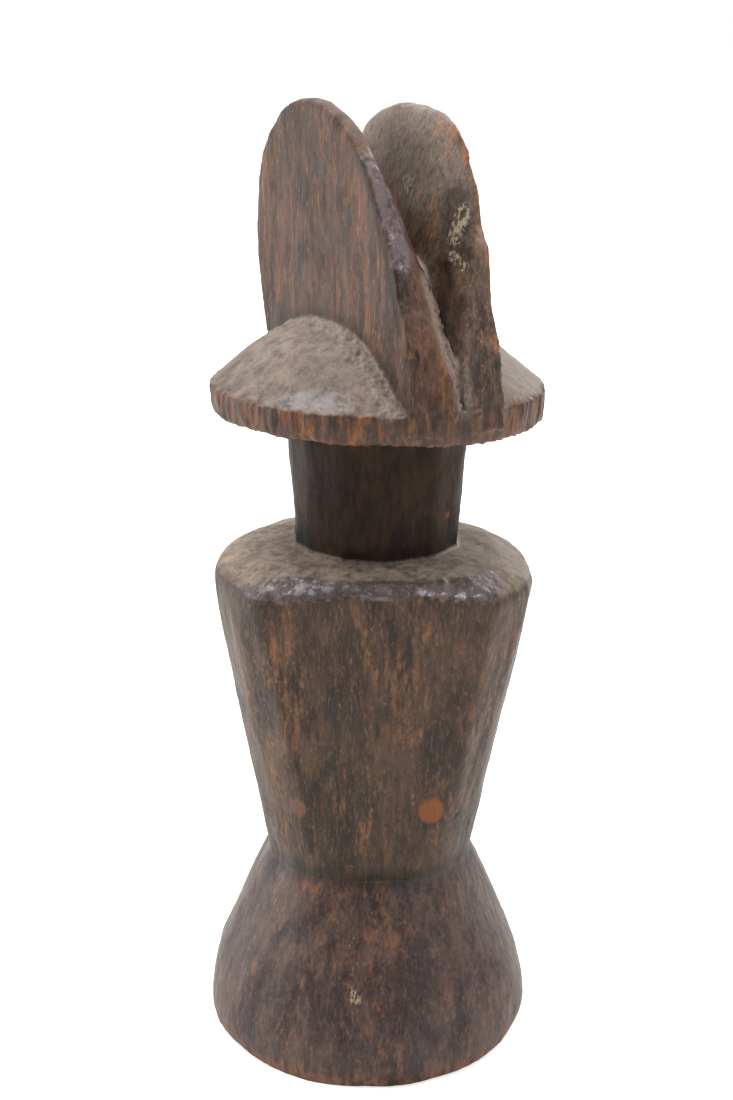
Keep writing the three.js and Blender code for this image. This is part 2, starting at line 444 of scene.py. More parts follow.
def near(places, first, second, reach):
    """1 on the line between two points, falling to 0 at the reach, in millimetres."""
    first, second = np.array(first), np.array(second)
    line = second - first
    share = np.clip((places - first) @ line / (line @ line), 0, 1)
    return 1 - blend(np.linalg.norm(places - first - share[:, None] * line, axis=1), reach * 0.35, reach)


GROUP_STEPS = 16


def group(thing, name, weights):
    """A vertex group with a weight for every corner, in even steps."""
    made = thing.vertex_groups.new(name=name + "_group")
    steps = np.round(weights * GROUP_STEPS).astype(int)
    for step in range(1, GROUP_STEPS + 1):
        chosen = np.nonzero(steps == step)[0]
        if len(chosen):
            made.add(chosen.tolist(), step / GROUP_STEPS, "REPLACE")
    return made.name


def keep(thing, name, values):
    """Keeps a value for every corner as an attribute that the finish can read."""
    thing.data.attributes.new(name, "FLOAT", "POINT").data.foreach_set("value", values.astype(np.float32))


# %% [markdown]
# The zones are made from each corner's place, its distance from the doll's axis and how far it faces up.

# %% Where each corner is
spots = read(block.data, "co")
normals = read(block.data, "normal")
x, y, z = spots.T
out = np.hypot(x, y)
up, toward_front = normals[:, 2], -normals[:, 1]
left_face = LEFT_FACE_X - (y - CREST_FRONT_Y) * CREST_SPREAD / CREST_DEPTH
dome_z = np.interp(out, [0, 3, 9.2, 13.4, 16.7, 19.1, 21.7], [103, 102.9, 102.1, 100.6, 98.4, 96.4, 94.3])
print(len(spots), "corners to sort into zones")

# %% [markdown]
# The body, the waist, the neck, the crests and the bevel have been handled until they are smooth. The rim and
# the crests' front edges are cut across the grain and stay rough, and the knife's marks show on the sides.

# %% Soft and rough zones
worn_soft = blend(z, 28.5, 33) * (1 - blend(z, 64, 68.5))
waist_soft = 1 - blend(np.abs(z - 26.5), 2, 7)
neck_soft = blend(z, 73.6, 75) * (1 - blend(z, 87, 89)) * (1 - blend(out, 14, 15))
crest_soft = blend(z, 101, 106) * 0.3 + blend(z, 120, 127) * 0.6
bevel_soft = (1 - blend(np.abs(z - 70.0), 1.5, 4.0)) * blend(-y, 3, 9) * blend(out, 14, 16)
soft = np.max([worn_soft * 0.8, waist_soft, neck_soft, crest_soft, bevel_soft], axis=0)
rim = blend(out, 20.4, 21.4) * blend(z, 88.8, 89.6) * (1 - blend(z, 94.0, 94.8))
crest_front = blend(-y, 14, 19) * blend(z, 93, 95) * (1 - blend(z, 110, 120)) * blend(toward_front, 0.4, 0.75)
plain = 1 - np.maximum(rim, crest_front)
sides = plain * blend(0.75 - up, 0, 0.3) * np.where(neck_soft > 0.1, 0.15, 1)

# %% [markdown]
# Lint settles where the dome meets the left crest and on the cleft's left wall. The slope inside the right
# crest, which takes light from the left, is painted lighter in the dust colour as painted light.

# %% Lint zones and a painted light
near_dome = 1 - blend(np.abs(z - dome_z - 0.3), 0.6, 2.2)
beside_crest = 1 - blend(np.abs(x - left_face + 0.9), 0.6, 3.0)
cleft_wall = blend(normals[:, 0], 0.1, 0.45) * near(spots, (-0.6, -19.8, 95), (-1.6, -15.5, 108), 3.6)
cleft_foot = (1 - blend(np.abs(x - CLEFT_X), 0.5, 1.8)) * blend(z, 93, 95) * (1 - blend(z, 105, 110))
lint = np.clip(near_dome * beside_crest * blend(up, 0.1, 0.5) + cleft_wall + cleft_foot * 0.6, 0, 1)
# The right crest's inner slope, painted lighter as painted light.
slope = blend(-normals[:, 0], 0.4, 0.85) * blend(z, 113, 121) * blend(x, 0.6, 1.2) * (1 - blend(x, 6, 7))

# %% [markdown]
# Edges that stand out are rubbed down to red wood: the rim, the base's shoulder, the broken crest, the foot
# of the left crest's front and the edge the doll stands on. Where a hand holds it, the patina is polished, and
# there the finish also paints a purple-grey sheen as a painted highlight.

# %% Rubbed zones, and polished zones with a painted sheen
base_shoulder = near(spots, (-14.0, -6.5, 25.6), (-5.5, -13.5, 26.2), 1.8)
broken_edge = np.maximum(
    near(spots, (6.6, -4.0, 128.0), (7.2, -9.5, 124.5), 1.5),
    near(spots, (7.2, -9.5, 124.5), (7.8, -15.5, 115.5), 1.7),
)
front_foot = near(spots, (-3.2, -21.2, 103.5), (-3.6, -21.4, 91), 2.8)
standing_edge = 1 - blend(z, 0.6, 4.2)
bare = np.max([rim * 0.55, base_shoulder * 0.7, broken_edge, front_foot * 0.55, standing_edge * 1.1], axis=0)

# The polished places: glossy, and also painted with a purple-grey sheen.
bevel_height = blend(z, 67.2, 68.6) * (1 - blend(z, 71.7, 72.3))
bevel_slope = blend(up, 0.05, 0.3) * (1 - blend(up, 0.86, 0.96))
bevel = bevel_height * bevel_slope * blend(-y, 2, 8) * (1 - blend(x, 6, 12))
crest_edge = near(spots, (-4.9, -8.0, 123.6), (-5.6, -16.5, 112.5), 2.4) * blend(toward_front, 0.25, 0.6)
dome_patch = near(spots, (-17.6, -10.5, 94.9), (-13.2, -15.4, 94.9), 2.6) * blend(up, 0.5, 0.75)
polish_and_sheen = np.max([bevel, crest_edge, dome_patch * 0.55], axis=0)

# %% [markdown]
# Painted shade darkens the underside of the head, the foot of the neck, the waist crease, the cleft's floor,
# the right crest's inner face in the cleft and the foot of the left crest beside the dome. The same dark
# colour marks a crack along the left crest and the places where flakes are missing from the foot. A few
# flecks of an old pale coating are left, and a scratch of it on the base.

# %% Painted shade, dark marks and flecks
CRACK = [(-7.1, -8.6, 123.2), (-7.25, -12.7, 117.4), (-7.25, -16.2, 110.6), (-7.15, -18.8, 104.0)]
# The next five zones are painted shade, where shade falls under the brim, in creases and inside the cleft.
under_head = blend(z, 88.6, 90.0) * (1 - blend(z, 90.2, 90.6)) * (1 - blend(out, 13, 16))
neck_crevice = near(spots, (-9.6, -6.6, 72.7), (-5.6, -10.6, 73.0), 0.9)
waist_crease = (1 - blend(np.abs(z - 27.4), 0.4, 2.2)) * blend(-y, -4, 4)
crest_foot = near_dome * beside_crest * (1 - blend(up, 0.0, 0.35))
cleft_shade = near(spots, (5.2, -10.5, 118.5), (3.6, -14.6, 112.0), 3.2) * blend(-normals[:, 0], 0.2, 0.6)
# The chips and the crack are dark marks in the wood.
foot_chips = np.maximum(
    near(spots, (-7.2, -22, 2), (-6.6, -22, 0), 1.3), near(spots, (-3.6, -22.6, 1), (-3.4, -22.6, 0), 1.1),
)
crack = np.max([near(spots, a, b, 0.75) for a, b in zip(CRACK, CRACK[1:])], axis=0)
# This zone is mostly painted shade, with the dark marks of the crack and the chips.
shade_and_grime = np.max(
    [
        under_head, neck_crevice * 1.2, waist_crease * 0.65, cleft_foot * 0.3, crest_foot * 0.6, crack * 0.85,
        cleft_shade * 0.7, foot_chips,
    ],
    axis=0,
)
scratch = near(spots, (-9.8, -14.2, 20.1), (-11.0, -17.2, 13.0), 0.55)
# Each patch of flecks as the two ends of its middle line and its reach.
FLECK_PATCHES = [
    ((2.2, -1.6, 120.3), (2.6, -3.0, 119.3), 1.7), ((4.8, -12.8, 117.4), (3.2, -13.4, 114.4), 1.9),
    ((3.0, -14.0, 112.2), (3.6, -15.6, 111.0), 1.1), ((-11.0, -17.2, 13.2), (-10.6, -17.4, 12.6), 1.3),
]
flecks = np.max([near(spots, *patch) for patch in FLECK_PATCHES] + [scratch * 0.3], axis=0)

# %% [markdown]
# What the finish reads is kept as attributes, and what the modifiers read as vertex groups.

# %% Keep the zones
# The lint attribute also carries the right crest's inner slope, as painted light.
ZONES = {"bare": bare, "polish_and_sheen": polish_and_sheen, "shade_and_grime": shade_and_grime, "flecks": flecks, "lint": np.maximum(lint, slope * 0.45)}
for name, values in ZONES.items():
    keep(block, name, values)
    print(name, int((values > 0.5).sum()), "corners")
soft_group = group(block, "soft", soft)
rim_group = group(block, "rim", rim)
front_group = group(block, "crest_front", crest_front)
sides_group = group(block, "sides", sides)
lint_group = group(block, "lint", lint)
polish_group = group(block, "polish_and_sheen", polish_and_sheen)

# %% [markdown]
# ## Tool marks and grain
# The surface is moved along its normals by procedural patterns. Each pattern is measured in the space of an
# empty, and the empty's size in millimetres is the size of the pattern: long and narrow ones follow the
# grain, which runs up through the whole doll. Handling has softened the body, so that is relaxed first.

# %% Marks
def mark(thing, name, kind, size_mm, depth_mm, within="", middle=0.5, **settings):
    """Moves the surface by one pattern. depth is the whole travel from the pattern's dark to its light."""
    pattern = bpy.data.textures.new(name, kind)
    pattern.noise_scale = 1
    for key, value in settings.items():
        setattr(pattern, key, value)
    bpy.ops.object.empty_add(location=(3, 7, 2))
    space = bpy.context.object
    space.scale = size_mm
    bpy.context.view_layer.update()
    change = thing.modifiers.new(name, "DISPLACE")
    change.texture, change.texture_coords, change.texture_coords_object = pattern, "OBJECT", space
    change.strength, change.mid_level, change.vertex_group = depth_mm, middle, within
    apply_all(thing)
    bpy.data.objects.remove(space)
    bpy.data.textures.remove(pattern)


smooth(block, HANDLING, soft_group)
apply_all(block)
mark(block, "unevenness", "CLOUDS", (8, 8, 14), 0.8)
mark(block, "knife_cuts", "VORONOI", (5.5, 5.5, 12), 0.16, within=sides_group, distance_metric="DISTANCE_SQUARED")
mark(block, "grain", "CLOUDS", (0.9, 0.9, 10), 0.1, within=sides_group, noise_depth=2)
mark(block, "open_grain", "CLOUDS", (0.75, 0.75, 7), 0.6, within=rim_group, noise_depth=1)
mark(block, "front_grain", "CLOUDS", (0.8, 0.8, 5), 0.5, within=front_group, noise_depth=1)
mark(block, "pits", "CLOUDS", (0.7, 0.7, 1.3), 0.1, noise_depth=2)
mark(block, "polish_dents", "CLOUDS", (1.1, 1.1, 1.6), 0.3, within=polish_group, noise_depth=1)
mark(block, "lint_tufts", "CLOUDS", (1.2, 1.2, 1.2), 0.8, within=lint_group, middle=0.4, noise_depth=2)
mark(block, "lint_fibres", "CLOUDS", (0.5, 0.5, 0.6), 0.45, within=lint_group, middle=0.4, noise_depth=1)
print("size, mm:", [round(v, 1) for v in block.dimensions])

# %% [markdown]
# ## Edges and hollows
# Hands rub an old carving on its edges, and the finish paints its hollows dark as painted shade. A copy of
# the block is smoothed until its edges have sunk and its hollows have filled, and how far each corner then
# stands above the copy says which of the two it is. The materials read this as an attribute.

# %% Height above a smoothed copy
EDGE_SPAN, HOLLOW_SPAN = 12, 120


def height_above_smooth(thing, times):
    """How far each corner stands above a copy that is smoothed so many times, in millimetres."""
    copy = thing.copy()
    copy.data = thing.data.copy()
    bpy.context.collection.objects.link(copy)
    smooth(copy, times)
    apply_all(copy)
    rise = ((read(thing.data, "co") - read(copy.data, "co")) * read(thing.data, "normal")).sum(axis=1)
    bpy.data.objects.remove(copy)
    return rise


for name, times in (("edge", EDGE_SPAN), ("hollow", HOLLOW_SPAN)):
    rise = height_above_smooth(block, times)
    keep(block, name, rise)
    print(name, "from", round(float(rise.min()), 2), "to", round(float(rise.max()), 2), "mm")

# %% [markdown]
# ## Pieces
# The block is divided with booleans at the stop cuts: under the torso, on the shoulders, under the head, and
# where the crests stand on the dome. Both sides of a cut use the same plane or mould, so the pieces meet
# face to face and the carving looks whole.

# %% Rooms
# The stop cuts: the shoulders, the underside of the head and how far the neck reaches out.
SHOULDER_Z, BRIM_Z, NECK_REACH = 72.4, 90.2, 14.6
# The crests meet at a plane x. They stand this far above the dome, and their rooms reach this far past them.
CREST_SEAM_X, SEAM_LIFT, SEAM_MARGIN = 0.5, 0.5, 0.7
WIDE = 40


def slab(name, low, high):
    """A box between two heights, wider than the doll."""
    corners = [(-WIDE, -WIDE), (WIDE, -WIDE), (WIDE, WIDE), (-WIDE, WIDE)]
    return loft(name, [[(px, py, h) for px, py in corners] for h in (low, high)])


def neck_room():
    """The drum between the stop cuts, a little wider than the neck."""
    return loft("room", [ring(h, NECK_REACH) for h in (SHOULDER_Z, BRIM_Z)])


def crest_room(side):
    """The space of one crest: from the seam in the middle to just outside its outer face, above the dome."""
    near_x, far_x = side * (5.9 + SEAM_MARGIN), side * (9.6 + SEAM_MARGIN)
    corners = [(CREST_SEAM_X, -WIDE), (near_x, -WIDE), (far_x, WIDE), (CREST_SEAM_X, WIDE)]
    room = loft("room", [[(px, py, h) for px, py in corners] for h in (85, 140)])
    mould_profile = [(80, 45), (94.3 + SEAM_LIFT, 45)] + [(h + SEAM_LIFT, r) for h, r in HEAD_PROFILE[4:]]
    combine(room, loft("mould", [ring(h, r) for h, r in mould_profile]), "DIFFERENCE")
    return room


# %% [markdown]
# Each piece is a copy of the carved block, and keeps only what lies in its own room.

# %% Divide
def piece(name, room):
    """A copy of the block, cut to the room that the piece fills."""
    made = block.copy()
    made.data = block.data.copy()
    made.name = made.data.name = name
    bpy.context.collection.objects.link(made)
    combine(made, room, "INTERSECT")
    return made


doll = {
    "flared_base": piece("Base", slab("room", 0, WAIST_Z)),
    "torso": piece("Torso", slab("room", WAIST_Z, 80)),
    "neck": piece("Neck", neck_room()),
    "head_disc": piece("Head_Disc", slab("room", 86, 140)),
    "left_crest": piece("Left_Crest", crest_room(-1)),
    "right_crest": piece("Right_Crest", crest_room(1)),
}
# The torso and the head give way to the neck, and the head gives way to the crests.
for node in ("torso", "head_disc"):
    combine(doll[node], neck_room(), "DIFFERENCE")
for side in (-1, 1):
    combine(doll["head_disc"], crest_room(side), "DIFFERENCE")
bpy.data.objects.remove(block)

# %% [markdown]
# A boolean gives the new corners along a cut no zone values, which would show as a line. Each takes the mean
# of its neighbours' values instead. The pieces are then brought from millimetres to metres.

# %% Mend the cuts
ATTRIBUTES = ("edge", "hollow", *ZONES)
FACET_ANGLE = math.radians(50)
METRES = 0.001


def spread_to_cut(made, name):
    """Gives each new corner on a cut the mean of its neighbours' values, where it has none of its own."""
    mesh = made.data
    values = np.empty(len(mesh.vertices), dtype=np.float32)
    mesh.attributes[name].data.foreach_get("value", values)
    ends = np.empty(len(mesh.edges) * 2, dtype=np.int32)
    mesh.edges.foreach_get("vertices", ends)
    ends = np.concatenate([ends.reshape(-1, 2), ends.reshape(-1, 2)[:, ::-1]])
    known = values != 0
    given = ends[known[ends[:, 1]] & ~known[ends[:, 0]]]
    total = np.bincount(given[:, 0], weights=values[given[:, 1]], minlength=len(values))
    count = np.bincount(given[:, 0], minlength=len(values))
    values[count > 0] = (total[count > 0] / count[count > 0]).astype(np.float32)
    mesh.attributes[name].data.foreach_set("value", values)


for node, made in doll.items():
    for name in ATTRIBUTES:
        spread_to_cut(made, name)
    made.vertex_groups.clear()
    made.scale = (METRES, METRES, METRES)
    bpy.ops.object.select_all(action="DESELECT")
    bpy.context.view_layer.objects.active = made
    made.select_set(True)
    bpy.ops.object.transform_apply(location=True, rotation=True, scale=True)
    bpy.ops.object.shade_smooth_by_angle(angle=FACET_ANGLE)
    faces = sum(len(face.vertices) - 2 for face in made.data.polygons)
    print(made.name, faces, "triangles,", [round(v * 1000, 1) for v in made.dimensions], "mm")

# %% [markdown]
# ## The wood
# The doll is a dense tropical hardwood under an old hand patina: years of skin oil, smoke and dust. The
# patina is nearly black and slightly purple, and thin or rubbed away on the edges, where the wood shows
# red-brown to orange. Fine fibres and open pores run up the doll. Dust lies on what faces up, and the
# hollows and creases are painted dark as painted shade. It could be six separate materials, but the same
# steps with other amounts give all six, so that the grain and the colour run on from form to form.

# %% Colour and node helpers
def colour(code):
    """An sRGB hex colour as linear red, green, blue and alpha."""
    parts = [int(code[k : k + 2], 16) / 255 for k in (1, 3, 5)]
    return [p / 12.92 if p <= 0.04045 else ((p + 0.055) / 1.055) ** 2.4 for p in parts] + [1]


def add(tree, kind, sockets=None, **settings):
    """Adds a node, with its settings, its socket values and its links, and gives its outputs."""
    made = tree.nodes.new(kind)
    for key, value in settings.items():
        setattr(made, key, value)
    for key, value in (sockets or {}).items():
        if isinstance(value, bpy.types.NodeSocket):
            tree.links.new(value, made.inputs[key])
        else:
            made.inputs[key].default_value = value
    return made.outputs


# %% [markdown]
# Every pattern in the wood is noise, drawn out along the grain, which is the Z axis, and its size is that of
# the real feature. A hardwood's fibres are about 0.02 mm wide and its pores 0.1 to 0.2 mm. Those are too fine
# to show, so they are drawn at 0.3 and 0.45 mm. The grit, at 0.22 mm, is dried dirt.

# %% Patterns
PER_MM = 1000
# Size in mm, stretch along the grain, detail, roughness, start and distortion.
PATTERNS = {
    "fibre": (0.3, 9, 3, 0.65, 0, 0),
    "streak": (1.0, 8, 3, 0.65, 5, 0.3),
    "fleck": (0.45, 2.2, 3, 0.7, 9, 0),
    "grit": (0.22, 1.5, 2, 0.6, 3, 0),
    "ragged": (1.5, 2.0, 5, 0.75, 4, 0),
    "patch": (3.6, 2.2, 5, 0.7, 7, 0.5),
    "cluster": (5.0, 2.4, 4, 0.65, 12, 0.4),
    "blotch": (6.5, 2.0, 5, 0.65, 2, 0.6),
}


def wood_patterns(tree):
    """The patterns and zones that the finish reads, by name, and the place and slope of the surface."""
    place = add(tree, "ShaderNodeTexCoord")["Object"]
    normal = add(tree, "ShaderNodeNewGeometry")["Normal"]
    seen = {"place": place, "up": add(tree, "ShaderNodeSeparateXYZ", {0: normal})[2]}
    for name, (size, stretch, detail, broken, start, twist) in PATTERNS.items():
        scale = (PER_MM / size, PER_MM / size, PER_MM / size / stretch)
        space = add(tree, "ShaderNodeMapping", {"Vector": place, "Location": (start,) * 3, "Scale": scale})[0]
        sockets = {"Vector": space, "Scale": 1.0, "Detail": detail, "Roughness": broken, "Distortion": twist}
        seen[name] = add(tree, "ShaderNodeTexNoise", sockets)[0]
    for name in ATTRIBUTES:
        seen[name] = add(tree, "ShaderNodeAttribute", attribute_name=name)["Fac"]
    return seen


# %% [markdown]
# Three things are done to the patterns again and again: several are weighed together, several are asked to
# hold at once, and a colour is laid over the wood where a value passes from one number to another.

# %% Layers
SOFTLY = {"interpolation_type": "SMOOTHSTEP"}


def together(tree, *weighed):
    """The sum of several values, each times its weight."""
    total = 0.0
    for value, weight in weighed:
        total = add(tree, "ShaderNodeMath", {0: value, 1: weight, 2: total}, operation="MULTIPLY_ADD")[0]
    return total


def where_all(tree, first, *others):
    """The product of several amounts, which is high only where all of them are."""
    for other in others:
        first = add(tree, "ShaderNodeMath", {0: first, 1: other}, operation="MULTIPLY")[0]
    return first


def stain(tree, wood, tint, value, start, end, amount=1.0):
    """Lays a colour over the wood, up to an amount, as a value goes from start to end."""
    share = add(tree, "ShaderNodeMapRange", {0: value, 1: start, 2: end, 4: amount}, **SOFTLY)[0]
    return add(tree, "ShaderNodeMix", {0: share, 6: wood, 7: tint}, data_type="RGBA")[2]


# %% [markdown]
# The patina is thin in blotches. Warm wood shows in clusters of streaks, soot darkens whole patches, and
# fibres and pores lie over all of it, light and dark.

# %% Patina and grain
PORE_DARK = colour("#0c0807")


def grained_wood(tree, seen, patina, thin, red, pale, contrast):
    """The patina, the wood that shows through it and the fibres."""
    cover = together(tree, (seen["streak"], 0.2), (seen["ragged"], 0.3), (seen["blotch"], 0.5))
    wood = stain(tree, patina, thin, cover, 0.4, 0.6)
    warm = together(tree, (seen["streak"], 0.6), (seen["fleck"], 0.4))
    warm = add(tree, "ShaderNodeMapRange", {0: warm, 1: 0.48, 2: 0.62}, **SOFTLY)[0]
    crowded = {0: seen["cluster"], 1: 0.48, 2: 0.6, 4: 0.75 * contrast}
    warm = where_all(tree, warm, add(tree, "ShaderNodeMapRange", crowded, **SOFTLY)[0])
    wood = add(tree, "ShaderNodeMix", {0: warm, 6: wood, 7: red}, data_type="RGBA")[2]
    soot = together(tree, (seen["patch"], 0.7), (seen["ragged"], 0.3))
    wood = stain(tree, wood, patina, soot, 0.5, 0.62, 0.7)
    wood = stain(tree, wood, pale, seen["fibre"], 0.5, 0.8, 0.3 * contrast)
    wood = stain(tree, wood, PORE_DARK, seen["fibre"], 0.5, 0.22, 0.45 * contrast)
    wood = stain(tree, wood, pale, seen["fleck"], 0.56, 0.78, 0.5 * contrast)
    return stain(tree, wood, PORE_DARK, seen["fleck"], 0.46, 0.26, 0.55 * contrast)


# %% [markdown]
# Rubbing takes the patina off in the bare zones, along the edges and in a few patches, and leaves red and
# dark streaks. A small round worn place shows as a reddish spot, with the fibres still in it.

# %% Rubbed places
BARE_DARK = colour("#3a2114")


def rubbed_wood(tree, seen, wood, red, wear, spots):
    """The wood with its rubbed places, and how far it is rubbed there.

    spots are small worn places, as ((x, y, z, radius), colour) in millimetres.
    """
    edge = add(tree, "ShaderNodeMapRange", {0: seen["edge"], 1: 0.03, 2: 0.2, 4: 0.1 * wear}, **SOFTLY)[0]
    rubbed = together(tree, (seen["patch"], 0.6), (seen["fleck"], 0.4), (seen["bare"], 0.26), (edge, 1.0))
    exposed = add(tree, "ShaderNodeMapRange", {0: rubbed, 1: 0.58, 2: 0.76}, **SOFTLY)[0]
    streaky = stain(tree, BARE_DARK, red, seen["streak"], 0.38, 0.62)
    share = where_all(tree, exposed, 0.9 * min(1.0, wear + 0.2))
    wood = add(tree, "ShaderNodeMix", {0: share, 6: wood, 7: streaky}, data_type="RGBA")[2]
    for (sx, sy, sz, radius), tint in spots:
        middle = (sx / PER_MM, sy / PER_MM, sz / PER_MM)
        away = add(tree, "ShaderNodeVectorMath", {0: seen["place"], 1: middle}, operation="DISTANCE")["Value"]
        ragged_mm = together(tree, (away, PER_MM), (seen["ragged"], 1.0))
        inside = {0: ragged_mm, 1: radius + 0.85, 2: radius + 0.2}
        threads = {0: seen["fibre"], 1: 0.3, 2: 0.5, 3: 0.55, 4: 0.85}
        share = where_all(tree, *[add(tree, "ShaderNodeMapRange", part, **SOFTLY)[0] for part in (inside, threads)])
        wood = add(tree, "ShaderNodeMix", {0: share, 6: wood, 7: colour(tint)}, data_type="RGBA")[2]
    return wood, exposed


# %% [markdown]
# A nearly black colour is painted into the hollows, into the creases, under the head and into the cleft as
# painted shade, and over the crack and the chips as dark marks. The old coating is yellowish and breaks
# up into flecks.

# %% Painted shade, dark marks and old coating
SHADE_AND_GRIME, OLD_COATING = colour("#100b08"), colour("#93836a")


def shaded_grimy_wood(tree, seen, wood):
    """The wood with painted shade in its hollows and creases, dark marks, and flecks of old coating."""
    # How deep a hollow is, and the zone of shade and dark marks, set the painted shade.
    hollow = add(tree, "ShaderNodeMapRange", {0: seen["hollow"], 1: -0.12, 2: -0.7, 4: 0.75}, **SOFTLY)[0]
    lodged = where_all(tree, seen["shade_and_grime"], 0.85)
    shade_and_dirt = add(tree, "ShaderNodeMath", {0: hollow, 1: lodged}, operation="MAXIMUM", use_clamp=True)[0]
    wood = add(tree, "ShaderNodeMix", {0: shade_and_dirt, 6: wood, 7: SHADE_AND_GRIME}, data_type="RGBA")[2]
    chalky = together(tree, (seen["fleck"], 1.0), (seen["flecks"], 0.15))
    chalky = add(tree, "ShaderNodeMapRange", {0: chalky, 1: 0.6, 2: 0.74}, **SOFTLY)[0]
    share = where_all(tree, chalky, seen["flecks"])
    return add(tree, "ShaderNodeMix", {0: share, 6: wood, 7: OLD_COATING}, data_type="RGBA")[2]


# %% [markdown]
# Dust settles on what faces up, thicker in some patches than in others, and lint lodges in the creases. The
# lint zone also paints light, in the dust colour, onto the right crest's inner slope. Polished places have
# lost most of it, and the places of painted shade and dark marks all of it.

# %% Dust, lint and a painted light
def dusty_and_lit_wood(tree, seen, wood, powder, dust):
    """The wood with dust and lint, and painted light on the right crest's inner slope, and how much of them lies
    where.
    """
    amounts = (
        {0: seen["up"], 1: 0.3, 2: 0.95, 4: dust},
        {0: seen["ragged"], 1: 0.34, 2: 0.58, 3: 0.4},
        {0: seen["patch"], 1: 0.66, 2: 0.42, 3: 0.5},
    )
    settled = where_all(tree, *[add(tree, "ShaderNodeMapRange", part, **SOFTLY)[0] for part in amounts])
    tufts = add(tree, "ShaderNodeMapRange", {0: seen["fleck"], 1: 0.3, 2: 0.62, 3: 0.4, 4: 0.9}, **SOFTLY)[0]
    lodged = where_all(tree, seen["lint"], tufts)
    dust_and_light = add(tree, "ShaderNodeMath", {0: settled, 1: lodged}, operation="MAXIMUM")[0]
    for zone, left in (("polish_and_sheen", 0.2), ("shade_and_grime", 0.0)):
        dust_and_light = where_all(tree, dust_and_light, add(tree, "ShaderNodeMapRange", {0: seen[zone], 3: 1.0, 4: left})[0])
    return add(tree, "ShaderNodeMix", {0: dust_and_light, 6: wood, 7: powder}, data_type="RGBA")[2], dust_and_light


# %% [markdown]
# Oiled, handled wood is not a metal, has the usual IOR of 1.5 and a roughness of about 0.5, which gives the
# eye a soft broad sheen. Dust and bare wood are nearly matt, at 0.9, and hard rubbed patina shines, at 0.26.
# The gloss and the relief come from the same patterns as the colour, so that a dark pore is also a pit.
# The shiny places are also painted purple-grey, as a painted sheen over their real gloss.

# %% Patinated hardwood
# The first colour is a painted sheen, the purple-grey of the highlight on the polished places.
PAINTED_SHEEN = colour("#54494d")
MATT_DUST, POLISH_ROUGHNESS, POLISH_GLOSS = 0.9, 0.26, 0.9
RELIEF = 0.14 / PER_MM


def patinated_wood(name, tones, wear, dust, rough, gloss, contrast=1.0, spots=(), polished_with_sheen=False):
    """Dark hardwood with a hand patina, and a painted sheen where it is polished.

    tones are the patina, the wood under it where it is thin, red wood, pale fibres and dust.
    """
    patina, thin, red, pale, powder = [colour(code) for code in tones]
    material = bpy.data.materials.new(name)
    material.use_nodes = True
    tree = material.node_tree
    tree.nodes.clear()
    seen = wood_patterns(tree)
    wood = grained_wood(tree, seen, patina, thin, red, pale, contrast)
    wood, exposed = rubbed_wood(tree, seen, wood, red, wear, spots)
    wood = shaded_grimy_wood(tree, seen, wood)
    wood, dust_and_light = dusty_and_lit_wood(tree, seen, wood, powder, dust)

    matt = {0: seen["patch"], 1: 0.35, 2: 0.65, 3: rough + 0.1, 4: rough - 0.04}
    matt = add(tree, "ShaderNodeMapRange", matt, **SOFTLY)[0]
    loose = add(tree, "ShaderNodeMath", {0: dust_and_light, 1: where_all(tree, exposed, 0.4)}, operation="MAXIMUM")[0]
    matt = add(tree, "ShaderNodeMix", {0: loose, 2: matt, 3: MATT_DUST})[0]
    # Where it shines, the colour is mixed towards the painted sheen, besides the lower roughness and the higher
    # gloss.
    if polished_with_sheen:
        shine = add(tree, "ShaderNodeMapRange", {0: seen["ragged"], 1: 0.4, 2: 0.54, 3: 0.25}, **SOFTLY)[0]
        shine = where_all(tree, seen["polish_and_sheen"], shine)
        sockets = {0: where_all(tree, shine, 0.65), 6: wood, 7: PAINTED_SHEEN}
        wood = add(tree, "ShaderNodeMix", sockets, data_type="RGBA")[2]
        matt = add(tree, "ShaderNodeMix", {0: shine, 2: matt, 3: POLISH_ROUGHNESS})[0]
        gloss = add(tree, "ShaderNodeMix", {0: shine, 2: gloss, 3: POLISH_GLOSS})[0]

    relief = together(tree, (seen["fibre"], 0.4), (seen["fleck"], 0.45), (seen["grit"], 0.25))
    bump = add(tree, "ShaderNodeBump", {"Strength": 0.7, "Distance": RELIEF, "Height": relief})[0]
    sockets = {"Base Color": wood, "Roughness": matt, "Specular IOR Level": gloss, "Normal": bump}
    surface = add(tree, "ShaderNodeBsdfPrincipled", sockets)[0]
    add(tree, "ShaderNodeOutputMaterial", {0: surface})
    print("finish:", name, "with", len(tree.nodes), "nodes")
    return material


# %% [markdown]
# The base is the most handled. The neck lies in shade under the brim, and its tones are painted the darkest
# and flattest, partly its own dark wood and partly painted shade. The shoulders, the head and the crests carry
# the most dust. Gloss is the share of the usual mirror light.

